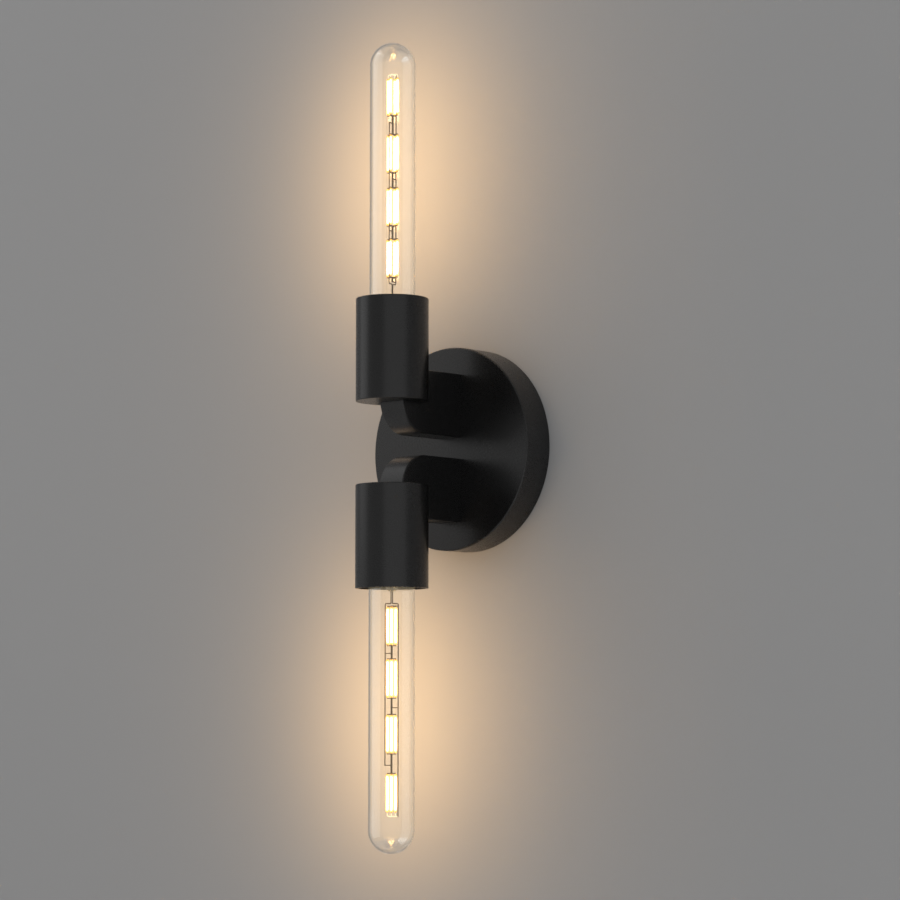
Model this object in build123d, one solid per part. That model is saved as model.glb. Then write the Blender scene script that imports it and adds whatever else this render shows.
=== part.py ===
from build123d import *
import math
import os

# Two-light wall light: a round canopy, two cast arms, two socket cups and two tubular filament bulbs.
# Millimetres. The origin is the canopy's centre on the wall plane: +Y goes into the wall, +X is the
# right-hand side seen from the room, +Z is up. Every lamp piece is made for the upper lamp, and the
# lower lamp is the same piece turned half a turn about the Y axis. A reach is a distance out from the
# canopy's face, and a height in the bulb is measured from its tip contact.

# Canopy, a spun steel pan
canopy_diameter = 135.0
canopy_depth = 22.5
canopy_wall = 1.5
canopy_edge_round = 0.8

# Arm, a hollow casting that passes behind and under its cup
arm_width = 20.2
arm_low_z = 7.0
arm_high_z = 49.0
arm_front = 56.5
arm_bend_radius = 22.0
arm_wall = 3.0
arm_edge_round = 0.8
arm_boss_height = 8.0
arm_boss_depth = 12.0
arm_channel_top_z = 17.0
arm_chamber_reach = 41.5

# Socket cup
cup_diameter = 47.3
cup_wall = 1.6
cup_reach = 55.5
cup_low_z = 27.0
cup_length = 67.0
cup_floor = 3.0
cup_edge_round = 0.6
cup_rim_round = 0.35
cup_seat_gap = 0.15

# Bulb glass, a 30 mm tube with a round end
bulb_length = 225.0
bulb_contact_z = 38.3
glass_diameter = 30.0
glass_wall = 1.0
glass_neck_diameter = 22.8
glass_foot = 25.0
flare_low = 27.2
flare_high = 37.0

# Screw thread shared by the bulb base and the lampholder shell
thread_pitch = 3.629
thread_mean_radius = 12.725
thread_half_depth = 0.425
thread_clearance = 0.3
bulb_thread_low = 6.0
bulb_thread_high = 24.0
base_sheet = 0.45
shell_sheet = 0.5
shell_turns_below = 2
shell_top_z = 61.7

# Half outlines of the bulb base, (radius, height)
collar_outline = [(11.75, 23.8), (13.2, 23.8), (13.3, 24.4), (13.3, 26.6), (12.9, 27.0), (11.75, 27.0)]
insulator_outline = [
    (0, 1.6), (5.0, 1.6), (5.6, 2.2), (11.2, 4.6), (12.5, 5.4), (12.5, 6.0), (11.7, 6.0), (11.7, 8.5), (0, 8.5),
]
tip_radius = 4.75
tip_height = 1.6
tip_round = 1.0

# Lampholder
holder_radius = 17.5
holder_top_z = 67.0
holder_bore_radius = 14.3
holder_edge_round = 1.2
leaf_thickness = 0.5
leaf_half_width = 3.0
leaf_foot_end, leaf_foot_start, leaf_rise_end, leaf_tip = -10.5, -5.5, -3.0, 3.5

# Filament frame inside the bulb
stem_radius = 4.0
stem_top = 57.8
stem_outline = [
    (9.1, 25.4), (10.3, 25.4), (10.3, 26.4), (7.0, 28.6), (4.5, 32.5), (4.0, 36.0), (4.0, 55.2), (3.3, 56.7),
    (2.0, 57.55), (0, 57.8), (0, 50.0), (2.6, 49.0), (2.6, 36.0), (3.2, 32.2),
]
stem_seal_low = 45.0
post_half_gap = 0.5
support_wire_radius = 0.35
support_wire_foot = 20.0
support_half_width = 4.2
support_bends = [0.6, 0.9]
crossbar_height = 65.4
first_joint_rise = 1.6
last_joint_rise = 2.4
joint_share = 0.58
upper_tiers = [70.1, 104.0, 139.2, 177.0]
lower_tiers = [67.5, 101.1, 136.6, 174.1]
stick_length = 24.6
stick_radius = 0.95
stick_end_round = 0.57
stick_offset_in_plane = 2.6
stick_offset_across = 3.6
tie_width = 0.6
hub_radius = 0.65
loop_wire_radius = 0.26
loop_bend = 1.1
upper_frame_angle = 101.6
lower_frame_angle = 138.4

# Driver board inside the bulb base
board_half_width = 8.0
board_thickness = 1.6
board_heights = (9.5, 24.5)
capacitor_radius, capacitor_length = 3.2, 6.0
capacitor_place = (-3.5, 16.0)
rectifier_x, rectifier_z, rectifier_thickness = (1.5, 6.0), (12.5, 17.0), 2.0

# Fasteners
screw_gap = 0.05
screw_clearance = 0.2
arm_screw_radius = 2.0
arm_screw_heights = (14.0, 42.0)
arm_screw_depth = 9.0
arm_screw_head_radius, arm_screw_head_height, arm_screw_head_round = 3.8, 2.8, 1.0
cup_screw_radius = 1.5
cup_screw_head_radius = 2.85
cup_screw_depth = 8.0
cup_screw_reach = 38.0
cup_screw_half_gap = 5.2
holder_screw_half_gap = 9.0
holder_screw_head_radius, holder_screw_head_height = 2.6, 2.0
holder_screw_skin = 0.8
slot_half_cut, slot_depth = 0.45, 0.9
set_screw_radius = 2.0
set_screw_y = -8.0
set_screw_recess = 0.1
set_screw_stand = 1.0
set_screw_socket_radius, set_screw_socket_depth = 1.1, 2.0

# Wiring
lead_radius = 1.2
lead_half_gap = 2.2
lead_entry_reach = 48.0
lead_entry_depth = 5.4
lead_hole_radius = 1.4
lead_route = [(48.0, 21.5), (41.0, 13.4), (25.5, 13.4), (12.5, 28.0)]
lead_radii = [6, 6, 8, 8, 5, 6]
lead_turn_x = 13.0
splice_depth = 8.0
splice_half_gap = 1.35
hot_y = -7.0
neutral_y = -13.5
grommet_z = 28.0
grommet_bore_radius = 3.8
grommet_radius = 4.75
grommet_flange_radius = 6.5
grommet_flange = 1.2
nut_mouth_x = 26.0
nut_length = 21.0
nut_radius = 5.5
nut_outline = [(3.5, nut_length), (4.7, 19.0), (nut_radius, 3.0), (nut_radius, 0)]
nut_bore = [(4.2, 0), (3.6, 12.0)]
nut_ribs = 8
nut_groove = (0.9, 0.9, 12.6)

# Mounting strap
strap_width = 24.0
strap_thickness = 2.0
strap_half_height = 64.5
strap_shoulder = 8.0
strap_corner_round = 3.0
strap_ear_width = 16.0
strap_ear_depth = 14.0
slot_width = 4.8
slot_length = 15.0
slot_half_spacing = 39.7

# Ground connection
ground_screw_place = (-6.0, 14.0)
ground_screw_head_radius, ground_screw_head_height = 3.6, 2.4
ground_stud_place = (-30.0, 30.0)
ground_stud_radius = 2.0
ground_stud_length = 7.0
ground_nut_radius, ground_nut_height = 4.0, 3.0
terminal_radius = 4.0
terminal_sheet = 0.8
terminal_half_neck = 1.4
barrel_radius = 1.7
barrel_start, barrel_length = 5.0, 6.0
ground_lead_radii = [6, 5, 4.5]
ground_lead_run = 17.0
ground_lead_slope = 1.0

# Sizes worked out from the ones above
cup_radius = cup_diameter / 2
cup_inner_radius = cup_radius - cup_wall
cup_high_z = cup_low_z + cup_length
cup_floor_z = cup_low_z + cup_floor
axis_y = -(canopy_depth + cup_reach)
entry_offset = cup_reach - lead_entry_reach
cup_screw_offset = cup_reach - cup_screw_reach
socket_floor_z = bulb_contact_z + bulb_thread_low - shell_turns_below * thread_pitch
plate_inner_y = -(canopy_depth - canopy_wall)
arm_inner_half = arm_width / 2 - arm_wall

HALF_TURN = Rot(0, 180, 0)
UPWARD = (Align.CENTER, Align.CENTER, Align.MIN)
BEYOND = 1.0


def out_y(reach):
    """The Y of a point that stands this far out from the canopy's face."""
    return -(canopy_depth + reach)


def turned(points):
    """A solid of revolution about Z from the (radius, height) points of its half outline."""
    outline = Polyline(*[(radius, 0, height) for radius, height in points], close=True)
    return revolve(make_face(outline), Axis.Z)


def tube(outer_radius, inner_radius, low, high):
    """A plain tube about Z between two heights."""
    return turned([(inner_radius, low), (outer_radius, low), (outer_radius, high), (inner_radius, high)])


def rod(radius, low, high):
    """A plain cylinder about Z between two heights."""
    return Pos(0, 0, low) * Cylinder(radius, high - low, align=UPWARD)


def hexagon(radius, low, high):
    """A six-sided bar about Z between two heights."""
    return Pos(0, 0, low) * extrude(RegularPolygon(radius, 6), high - low)


def block(x_range, y_range, z_range):
    """A box between two planes on each axis."""
    spans = (x_range, y_range, z_range)
    sizes = [abs(high - low) for low, high in spans]
    middles = [(low + high) / 2 for low, high in spans]
    return Pos(*middles) * Box(*sizes)


def along_y(solid, place, start_y):
    """Turn a solid made about +Z so that it runs along +Y from a point (x, z) at start_y."""
    x, z = place
    return Pos(x, start_y, z) * Rot(-90, 0, 0) * solid


def wire(points, radii, wire_radius):
    """A round wire along straight runs with rounded corners, and its checks on radius and volume."""
    path = FilletPolyline(*points, radius=radii)
    section = Plane(origin=path @ 0, z_dir=path % 0) * Circle(wire_radius)
    solid = sweep(section, path=path)
    expected = math.pi * wire_radius**2 * path.length
    print(f"wire: length {path.length:.1f}, radii {radii}, volume ratio {solid.volume / expected:.4f}")
    return solid


def threaded_tube(outer_radius, sheet, low, high):
    """A thin tube with a round single-start thread: a ring carried along a helix of small radius."""
    ring = Circle(outer_radius) - Circle(outer_radius - sheet)
    path = Helix(thread_pitch, high - low, thread_half_depth)
    start = Pos(thread_half_depth, 0, 0) * ring
    return Pos(0, 0, low) * sweep(start, path=path, normal=(0, 0, 1))


def group(solids):
    """Separate like solids kept together in one node."""
    return Compound([piece for solid in solids for piece in solid.solids()])


def on_cup_axis(solid):
    """Carry a piece made about Z to the upper cup's axis."""
    return Pos(0, axis_y, 0) * solid


def both_lamps(solid):
    """The upper lamp's solid and its twin on the lower lamp."""
    return [solid, HALF_TURN * solid]


def make_canopy():
    """The pan: a disc and a rim, pierced for the arm screws, the leads and the set screws."""
    radius = canopy_diameter / 2
    drill = 4 * canopy_wall
    pan = Rot(90, 0, 0) * Cylinder(radius, canopy_depth, align=UPWARD)
    pan = fillet(pan.edges().sort_by(Axis.Y)[0], canopy_edge_round)
    pan -= Rot(90, 0, 0) * Cylinder(radius - canopy_wall, canopy_depth - canopy_wall, align=UPWARD)
    for side in (1, -1):
        for height in arm_screw_heights:
            hole = Cylinder(arm_screw_radius + screw_clearance, drill)
            pan -= along_y(hole, (0, side * height), plate_inner_y)
        pan -= along_y(Cylinder(grommet_radius + screw_gap, drill), (0, side * grommet_z), plate_inner_y)
        pan -= Pos(0, set_screw_y, side * radius) * Cylinder(set_screw_radius + screw_clearance, drill)
    return pan


def make_strap():
    """The flat wall strap with its two slots and its two bent ears, tapped for the set screws."""
    half = strap_half_height
    ear_x = (-strap_ear_width / 2, strap_ear_width / 2)
    flat_y = (-strap_thickness, 0)
    drill = 3 * strap_thickness
    plate = block((-strap_width / 2, strap_width / 2), flat_y, (strap_shoulder - half, half - strap_shoulder))
    strap = fillet(plate.edges().filter_by(Axis.Y), strap_corner_round)
    strap += block(ear_x, flat_y, (-half, half))
    slot = extrude(SlotOverall(slot_length, slot_width, rotation=90), drill)
    for side in (1, -1):
        ear_z = sorted((side * half, side * (half - strap_thickness)))
        strap += block(ear_x, (-strap_ear_depth, 0), ear_z)
        strap -= along_y(slot, (0, side * slot_half_spacing), -2 * strap_thickness)
        strap -= Pos(0, set_screw_y, side * half) * Cylinder(set_screw_radius + screw_gap, drill)
    strap -= along_y(Cylinder(arm_screw_radius + screw_gap, drill), ground_screw_place, 0)
    return strap


def make_set_screws():
    """Two flush grub screws that hold the canopy to the strap's ears, each with a hexagon socket."""
    outer = canopy_diameter / 2 - set_screw_recess
    body = rod(set_screw_radius, strap_half_height - strap_thickness - set_screw_stand, outer)
    body -= hexagon(set_screw_socket_radius, outer - set_screw_socket_depth, outer + BEYOND)
    return group(both_lamps(Pos(0, set_screw_y, 0) * body))


def arm_profile(inset):
    """The arm's side outline, with one large round corner, drawn in by a wall or not at all."""
    low, high = arm_low_z + inset, arm_high_z - inset
    outline = Rectangle(arm_front - inset, high - low, align=(Align.MIN, Align.MIN))
    corner = outline.vertices().sort_by(Axis.Y)[:2].sort_by(Axis.X)[-1]
    outline = fillet(corner, arm_bend_radius - inset)
    side_plane = Plane(origin=(0, -canopy_depth, 0), x_dir=(0, -1, 0), z_dir=(-1, 0, 0))
    return side_plane * (Pos(0, low) * outline)


def arm_cavity():
    """The room for the leads: open to the canopy between two screw bosses, then under the cup's screws."""
    width = (-arm_inner_half, arm_inner_half)
    low, high = arm_low_z + arm_wall, arm_high_z - arm_wall
    back_room = cup_reach - cup_radius - arm_wall
    mouth = block(width, (out_y(-BEYOND), out_y(back_room)), (low + arm_boss_height, high - arm_boss_height))
    room = block(width, (out_y(arm_boss_depth), out_y(back_room)), (low, high))
    room += block(width, (out_y(back_room - BEYOND), out_y(arm_chamber_reach + BEYOND)), (low, arm_channel_top_z))
    room += block(width, (out_y(arm_chamber_reach), out_y(arm_front)), (low, cup_low_z - arm_wall))
    return (room & extrude(arm_profile(arm_wall), arm_inner_half, both=True)) + mouth


def make_arm():
    """The cast arm: a tall block with one round outer corner, cut for the cup, hollow for the leads."""
    arm = extrude(arm_profile(0), arm_width / 2, both=True)
    sides = arm.faces().filter_by(Axis.X)
    edges = [edge for edge in sides.edges() if edge.center().Y < out_y(BEYOND)]
    arm = fillet(edges, arm_edge_round)
    arm -= on_cup_axis(rod(cup_radius + cup_seat_gap, cup_low_z, arm_high_z + BEYOND))
    arm -= arm_cavity()
    for height in arm_screw_heights:
        boss_hole = rod(arm_screw_radius + screw_gap, 0, arm_screw_depth + 2 * BEYOND)
        arm -= along_y(boss_hole, (0, height), out_y(arm_screw_depth + BEYOND))
    for side in (1, -1):
        hole = rod(cup_screw_radius + screw_gap, cup_low_z - cup_screw_depth - BEYOND, cup_low_z + BEYOND)
        arm -= Pos(side * cup_screw_half_gap, out_y(cup_screw_reach), 0) * hole
    bushing_hole = rod(grommet_radius, cup_low_z - arm_wall - BEYOND, cup_low_z + BEYOND)
    arm -= Pos(0, out_y(lead_entry_reach), 0) * bushing_hole
    return arm


def make_arm_screw(height):
    """A pan-head screw from inside the canopy into one of the arm's bosses."""
    under_head = arm_screw_depth + canopy_wall
    top = under_head + arm_screw_head_height
    head = fillet(rod(arm_screw_head_radius, under_head, top).edges().sort_by(Axis.Z)[-1], arm_screw_head_round)
    reach = (-arm_screw_head_radius, arm_screw_head_radius)
    head -= block((-slot_half_cut, slot_half_cut), reach, (top - slot_depth, top + BEYOND))
    return along_y(rod(arm_screw_radius, 0, under_head) + head, (0, height), out_y(arm_screw_depth))


def countersunk(gap):
    """A countersunk screw's shape about Z, its head flush with the cup floor, grown by a gap for its hole."""
    head_radius = cup_screw_head_radius + gap
    shank_radius = cup_screw_radius + gap
    neck = cup_floor_z - (head_radius - shank_radius)
    low = cup_low_z - cup_screw_depth
    return turned([(0, low), (shank_radius, low), (shank_radius, neck), (head_radius, cup_floor_z), (0, cup_floor_z)])


def make_cup():
    """The plain turned cup with a flat floor, drilled for its screws and for the leads."""
    cup = rod(cup_radius, cup_low_z, cup_high_z)
    cup = fillet(cup.edges().sort_by(Axis.Z)[0], cup_edge_round)
    cup -= rod(cup_inner_radius, cup_floor_z, cup_high_z + BEYOND)
    cup = fillet(cup.edges().group_by(Axis.Z)[-1], cup_rim_round)
    for side in (1, -1):
        cup -= Pos(side * cup_screw_half_gap, cup_screw_offset, 0) * countersunk(screw_gap)
        blind_hole = rod(cup_screw_radius + screw_gap, cup_low_z + holder_screw_skin, cup_floor_z)
        cup -= Pos(side * holder_screw_half_gap, 0, 0) * blind_hole
    cup -= Pos(0, entry_offset, 0) * rod(grommet_radius, cup_low_z - BEYOND, cup_floor_z + BEYOND)
    return on_cup_axis(cup)


def mirrored_pairs(screw, half_gap, offset):
    """A screw to the left and right of each cup's axis, on both lamps."""
    pair = [on_cup_axis(Pos(side * half_gap, offset, 0) * screw) for side in (1, -1)]
    return group([twin for solid in pair for twin in both_lamps(solid)])


def make_cup_screws():
    """Two countersunk screws from each cup's floor down into its arm."""
    slot_reach = (-cup_screw_head_radius, cup_screw_head_radius)
    slot_z = (cup_floor_z - slot_depth, cup_floor_z + BEYOND)
    screw = countersunk(0) - block((-slot_half_cut, slot_half_cut), slot_reach, slot_z)
    return mirrored_pairs(screw, cup_screw_half_gap, cup_screw_offset)


def make_holder():
    """The ceramic lampholder: a stout cup with a wide bore, two lead holes and two screw holes."""
    body = rod(holder_radius, cup_floor_z, holder_top_z)
    body = fillet(body.edges().sort_by(Axis.Z)[-1], holder_edge_round)
    body -= rod(holder_bore_radius, socket_floor_z, holder_top_z + BEYOND)
    for side in (1, -1):
        lead_hole = rod(lead_hole_radius, cup_floor_z - BEYOND, cup_floor_z + lead_entry_depth + screw_gap)
        body -= Pos(side * lead_half_gap, entry_offset, 0) * lead_hole
        screw_hole = rod(cup_screw_radius + screw_clearance, cup_floor_z - BEYOND, socket_floor_z + BEYOND)
        body -= Pos(side * holder_screw_half_gap, 0, 0) * screw_hole
    return on_cup_axis(body)


def make_holder_screws():
    """Two pan-head screws that hold each lampholder down to its cup's floor."""
    top = socket_floor_z + holder_screw_head_height
    screw = rod(cup_screw_radius, cup_low_z + holder_screw_skin + screw_clearance, top)
    screw += rod(holder_screw_head_radius, socket_floor_z, top)
    slot_reach = (-holder_screw_head_radius, holder_screw_head_radius)
    screw -= block(slot_reach, (-slot_half_cut, slot_half_cut), (top - slot_depth, top + BEYOND))
    return mirrored_pairs(screw, holder_screw_half_gap, 0)


def make_screw_shell():
    """The lampholder's threaded sheet-metal shell, in mesh with the bulb's base."""
    outer = thread_mean_radius + thread_clearance + shell_sheet
    return on_cup_axis(threaded_tube(outer, shell_sheet, socket_floor_z, shell_top_z))


def make_leaf():
    """The sprung centre contact: a flat foot on the lampholder and a raised tongue under the bulb's tip."""
    low, high = socket_floor_z, bulb_contact_z
    sheet = leaf_thickness
    strip = Polyline(
        (leaf_foot_end, low), (leaf_foot_start + sheet / 2, low), (leaf_rise_end + sheet / 2, high - sheet),
        (leaf_tip, high - sheet), (leaf_tip, high), (leaf_rise_end, high), (leaf_foot_start, low + sheet),
        (leaf_foot_end, low + sheet), close=True,
    )
    return on_cup_axis(extrude(Plane.YZ * make_face(strip), leaf_half_width, both=True))


def make_cup_bushings():
    """A plain sleeve in each cup's floor, where the leads come up from the arm."""
    sleeve = tube(grommet_radius - screw_gap, grommet_bore_radius, cup_low_z - arm_wall, cup_floor_z)
    return group(both_lamps(on_cup_axis(Pos(0, entry_offset, 0) * sleeve)))


def make_grommets():
    """A flanged sleeve in the canopy behind each arm."""
    sleeve = tube(grommet_radius, grommet_bore_radius, 0, canopy_wall)
    sleeve += tube(grommet_flange_radius, grommet_bore_radius, canopy_wall, canopy_wall + grommet_flange)
    return group(both_lamps(along_y(sleeve, (0, grommet_z), -canopy_depth)))


def make_leads(lamp_turn):
    """The two leads of one lamp, from its lampholder through arm and canopy to the wire nuts.

    The hot lead ends at the right-hand nut and the neutral at the left-hand one. Half a turn about Y
    takes the upper lamp's route to the lower lamp, so there the two leads cross at different depths.
    """
    leads = {}
    for name, polarity, run_y in (("hot", 1, hot_y), ("neutral", -1, neutral_y)):
        x = lamp_turn * polarity * lead_half_gap
        points = [(x, out_y(lead_entry_reach), lamp_turn * (cup_floor_z + lead_entry_depth))]
        points += [(x, out_y(reach), lamp_turn * z) for reach, z in lead_route]
        points += [
            (x, run_y, lamp_turn * grommet_z),
            (polarity * lead_turn_x, run_y, lamp_turn * splice_half_gap),
            (polarity * (nut_mouth_x + splice_depth), run_y, lamp_turn * splice_half_gap),
        ]
        leads[name] = wire(points, lead_radii, lead_radius)
    return leads


def make_wire_nut(side, y):
    """A ribbed, moulded wire connector lying along X with its mouth towards the middle of the canopy."""
    closed_end, bore_end = nut_outline[0][1], nut_bore[-1][1]
    nut = turned([(0, closed_end)] + nut_outline + nut_bore + [(0, bore_end)])
    groove = Pos(nut_radius, 0, nut_length / 2) * Box(*nut_groove)
    for index in range(nut_ribs):
        nut -= Rot(0, 0, index * 360 / nut_ribs) * groove
    return Pos(side * nut_mouth_x, y, 0) * Rot(0, 90 * side, 0) * nut


def ring_terminal():
    """A crimped ring terminal: its ring flat on the XY plane, its barrel along +X."""
    bore = ground_stud_radius + screw_clearance
    neck = block((0, barrel_start + BEYOND), (-terminal_half_neck, terminal_half_neck), (0, terminal_sheet))
    ring = rod(terminal_radius, 0, terminal_sheet) + neck - rod(bore, -BEYOND, terminal_sheet + BEYOND)
    barrel = tube(barrel_radius, lead_radius + screw_gap, 0, barrel_length)
    return ring + Pos(barrel_start, 0, barrel_radius) * Rot(0, 90, 0) * barrel


def make_ground_parts():
    """The ground screw on the strap, the stud and nut in the canopy, and the lead between them."""
    screw_x, screw_z = ground_screw_place
    stud_x, stud_z = ground_stud_place
    strap_y = -strap_thickness
    screw = rod(arm_screw_radius, -strap_thickness - terminal_sheet, 0)
    screw += hexagon(ground_screw_head_radius, 0, ground_screw_head_height)
    nut = hexagon(ground_nut_radius, 0, ground_nut_height)
    nut -= rod(ground_stud_radius + screw_gap, -BEYOND, ground_nut_height + BEYOND)
    on_strap = Pos(screw_x, strap_y, screw_z) * Rot(90, 0, 180) * ring_terminal()
    on_stud = Pos(stud_x, plate_inner_y, stud_z) * Rot(-90, 0, 0) * Rot(0, 0, 90) * ring_terminal()
    lead_points = [
        (screw_x - barrel_start - BEYOND, strap_y - barrel_radius, screw_z),
        (screw_x - ground_lead_run, strap_y - barrel_radius, screw_z),
        (stud_x, plate_inner_y / 2, screw_z - ground_lead_slope),
        (stud_x, plate_inner_y + barrel_radius, screw_z + ground_lead_slope),
        (stud_x, plate_inner_y + barrel_radius, stud_z - barrel_start - BEYOND),
    ]
    return {
        "ground_screw": Pos(screw_x, strap_y - terminal_sheet, screw_z) * Rot(90, 0, 0) * screw,
        "ground_stud": along_y(rod(ground_stud_radius, 0, ground_stud_length), ground_stud_place, plate_inner_y),
        "ground_nut": along_y(nut, ground_stud_place, plate_inner_y + terminal_sheet),
        "ground_lead": wire(lead_points, ground_lead_radii, lead_radius),
        "ground_terminals": group([on_strap, on_stud]),
    }


def make_base_shell():
    """The bulb's threaded metal base, with the plain collar that holds the glass."""
    return threaded_tube(thread_mean_radius, base_sheet, bulb_thread_low, bulb_thread_high) + turned(collar_outline)


def make_tip():
    """The soldered tip contact at the very end of the base."""
    button = rod(tip_radius, 0, tip_height)
    return fillet(button.edges().sort_by(Axis.Z)[0], tip_round)


def glass_form(inset):
    """The solid of revolution of the envelope's outside, or of its inside when inset by the wall."""
    neck = glass_neck_diameter / 2 - inset
    body = glass_diameter / 2 - inset
    dome_start = bulb_length - glass_diameter / 2
    foot = glass_foot - inset
    middle = ((neck + body) / 2, 0, (flare_low + flare_high) / 2)
    outline = [
        Line((0, 0, foot), (neck, 0, foot)),
        Line((neck, 0, foot), (neck, 0, flare_low)),
        TangentArc((neck, 0, flare_low), middle, tangent=(0, 0, 1)),
        TangentArc((body, 0, flare_high), middle, tangent=(0, 0, -1)),
        Line((body, 0, flare_high), (body, 0, dome_start)),
        TangentArc((body, 0, dome_start), (0, 0, dome_start + body), tangent=(0, 0, 1)),
        Line((0, 0, dome_start + body), (0, 0, foot)),
    ]
    return revolve(make_face(outline), Axis.Z)


def make_stem():
    """The glass stem that closes the neck and holds the support wires."""
    stem = turned(stem_outline)
    for side in (1, -1):
        wire_hole = rod(support_wire_radius + screw_gap / 2, stem_seal_low, stem_top + BEYOND)
        stem -= Pos(side * post_half_gap, 0, 0) * wire_hole
    return stem


def joint_height(tiers, index):
    """The height of one of the places where the sticks of two tiers are joined."""
    if index == 0:
        return crossbar_height + first_joint_rise
    tier_end = tiers[index - 1] + stick_length
    if index == len(tiers):
        return tier_end + last_joint_rise
    return tier_end + joint_share * (tiers[index] - tier_end)


def make_support_wires(tiers):
    """The two stiff leads: side by side out of the stem, then apart, and up to the last two joints."""
    wires = []
    for side, last_joint in ((1, len(tiers)), (-1, len(tiers) - 1)):
        inner, outer = side * post_half_gap, side * support_half_width
        points = [
            (inner, 0, support_wire_foot), (inner, 0, crossbar_height), (outer, 0, crossbar_height),
            (outer, 0, joint_height(tiers, last_joint) + tie_width / 2),
        ]
        wires.append(wire(points, support_bends, support_wire_radius))
    return wires


def tie_cross(height):
    """A thin flat cross whose four arms reach the sticks of one tier."""
    half = tie_width / 2
    in_plane, across = stick_offset_in_plane + half, stick_offset_across + half
    flat = (height - half, height + half)
    return block((-in_plane, in_plane), (-half, half), flat) + block((-half, half), (-across, across), flat)


def end_loops(low, high):
    """Four bent wires from the ends of the last tier's sticks up and in to the axis."""
    loops = []
    for quarter in range(4):
        out = stick_offset_in_plane if quarter % 2 == 0 else stick_offset_across
        loop = wire([(out, 0, low), (out, 0, high), (0, 0, high)], [loop_bend], loop_wire_radius)
        loops.append(Rot(0, 0, 90 * quarter) * loop)
    return loops


def make_filament_ties(tiers):
    """A hub at each joint: a pin, a cross or loops at each tier's end and a tie to one support wire."""
    hubs = []
    half = tie_width / 2
    for index in range(len(tiers) + 1):
        height = joint_height(tiers, index)
        crosses = []
        if 0 < index < len(tiers):
            crosses.append(tiers[index - 1] + stick_length + half)
        if index < len(tiers):
            crosses.append(tiers[index] - half)
        pin_ends = sorted(crosses + [height])
        hub = rod(hub_radius, pin_ends[0] - half, pin_ends[-1] + half)
        for cross_height in crosses:
            hub += tie_cross(cross_height)
        if index == len(tiers):
            for loop in end_loops(tiers[-1] + stick_length, height):
                hub += loop
        side = 1 if index % 2 == 0 else -1
        tie_reach = sorted((0, side * (support_half_width - support_wire_radius)))
        hub += block(tie_reach, (-half, half), (height - half, height + half))
        hubs.append(hub)
    return hubs


def make_filament_sticks(tiers):
    """Tiers of four lit sticks in a cross about the axis, each a slim rod with rounded ends."""
    places = [
        (stick_offset_in_plane, 0), (0, stick_offset_across),
        (-stick_offset_in_plane, 0), (0, -stick_offset_across),
    ]
    sticks = []
    for low in tiers:
        stick = rod(stick_radius, low, low + stick_length)
        stick = fillet(stick.edges().filter_by(GeomType.CIRCLE), stick_end_round)
        sticks += [Pos(x, y, 0) * stick for x, y in places]
    return sticks


def make_driver():
    """The small circuit board inside the base, with its capacitor and rectifier."""
    front = support_wire_radius
    back = front + board_thickness
    x, z = capacitor_place
    return [
        block((-board_half_width, board_half_width), (front, back), board_heights),
        Pos(x, back, z) * Rot(-90, 0, 0) * rod(capacitor_radius, 0, capacitor_length),
        block(rectifier_x, (back, back + rectifier_thickness), rectifier_z),
    ]


def make_bulb_parts(frame_angle, tiers):
    """All the pieces of one bulb about Z, with the tip at height zero and its frame turned as fitted."""
    frame_turn = Rot(0, 0, frame_angle)
    return {
        "base_shell": make_base_shell(),
        "base_insulator": turned(insulator_outline),
        "tip_contact": make_tip(),
        "glass": glass_form(0) - glass_form(glass_wall),
        "glass_stem": frame_turn * make_stem(),
        "support_wires": group([frame_turn * solid for solid in make_support_wires(tiers)]),
        "filament_ties": group([frame_turn * solid for solid in make_filament_ties(tiers)]),
        "filament_sticks": group([frame_turn * solid for solid in make_filament_sticks(tiers)]),
        "driver_board": group([frame_turn * solid for solid in make_driver()]),
    }


def make_nodes():
    """Every node of the wall light by its name."""
    arm_screws = [make_arm_screw(height) for height in arm_screw_heights]
    nodes = {
        "canopy": make_canopy(),
        "mounting_strap": make_strap(),
        "canopy_set_screws": make_set_screws(),
        "canopy_grommets": make_grommets(),
        "hot_wire_nut": make_wire_nut(1, hot_y),
        "neutral_wire_nut": make_wire_nut(-1, neutral_y),
        "arm_screws": group([twin for solid in arm_screws for twin in both_lamps(solid)]),
        "cup_screws": make_cup_screws(),
        "cup_bushings": make_cup_bushings(),
        "lampholder_screws": make_holder_screws(),
    }
    nodes.update(make_ground_parts())
    lamp_pieces = {
        "arm": make_arm(),
        "socket_cup": make_cup(),
        "lampholder": make_holder(),
        "screw_shell": make_screw_shell(),
        "centre_contact": make_leaf(),
    }
    for lamp, lamp_turn, place, frame_angle, tiers in (
        ("upper", 1, Pos(0, 0, 0), upper_frame_angle, upper_tiers),
        ("lower", -1, HALF_TURN, lower_frame_angle, lower_tiers),
    ):
        for name, solid in lamp_pieces.items():
            nodes[f"{lamp}_{name}"] = place * solid
        for name, lead in make_leads(lamp_turn).items():
            nodes[f"{lamp}_{name}_lead"] = lead
        for name, solid in make_bulb_parts(frame_angle, tiers).items():
            nodes[f"{lamp}_bulb_{name}"] = place * on_cup_axis(Pos(0, 0, bulb_contact_z) * solid)
    return nodes


os.makedirs("parts", exist_ok=True)
for node_name, node_shape in make_nodes().items():
    export_step(node_shape, f"parts/{node_name}.step")
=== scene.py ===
import math
import bpy
from bpy.props import FloatProperty, FloatVectorProperty, IntProperty, PointerProperty
from mathutils import Matrix, Vector


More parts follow.
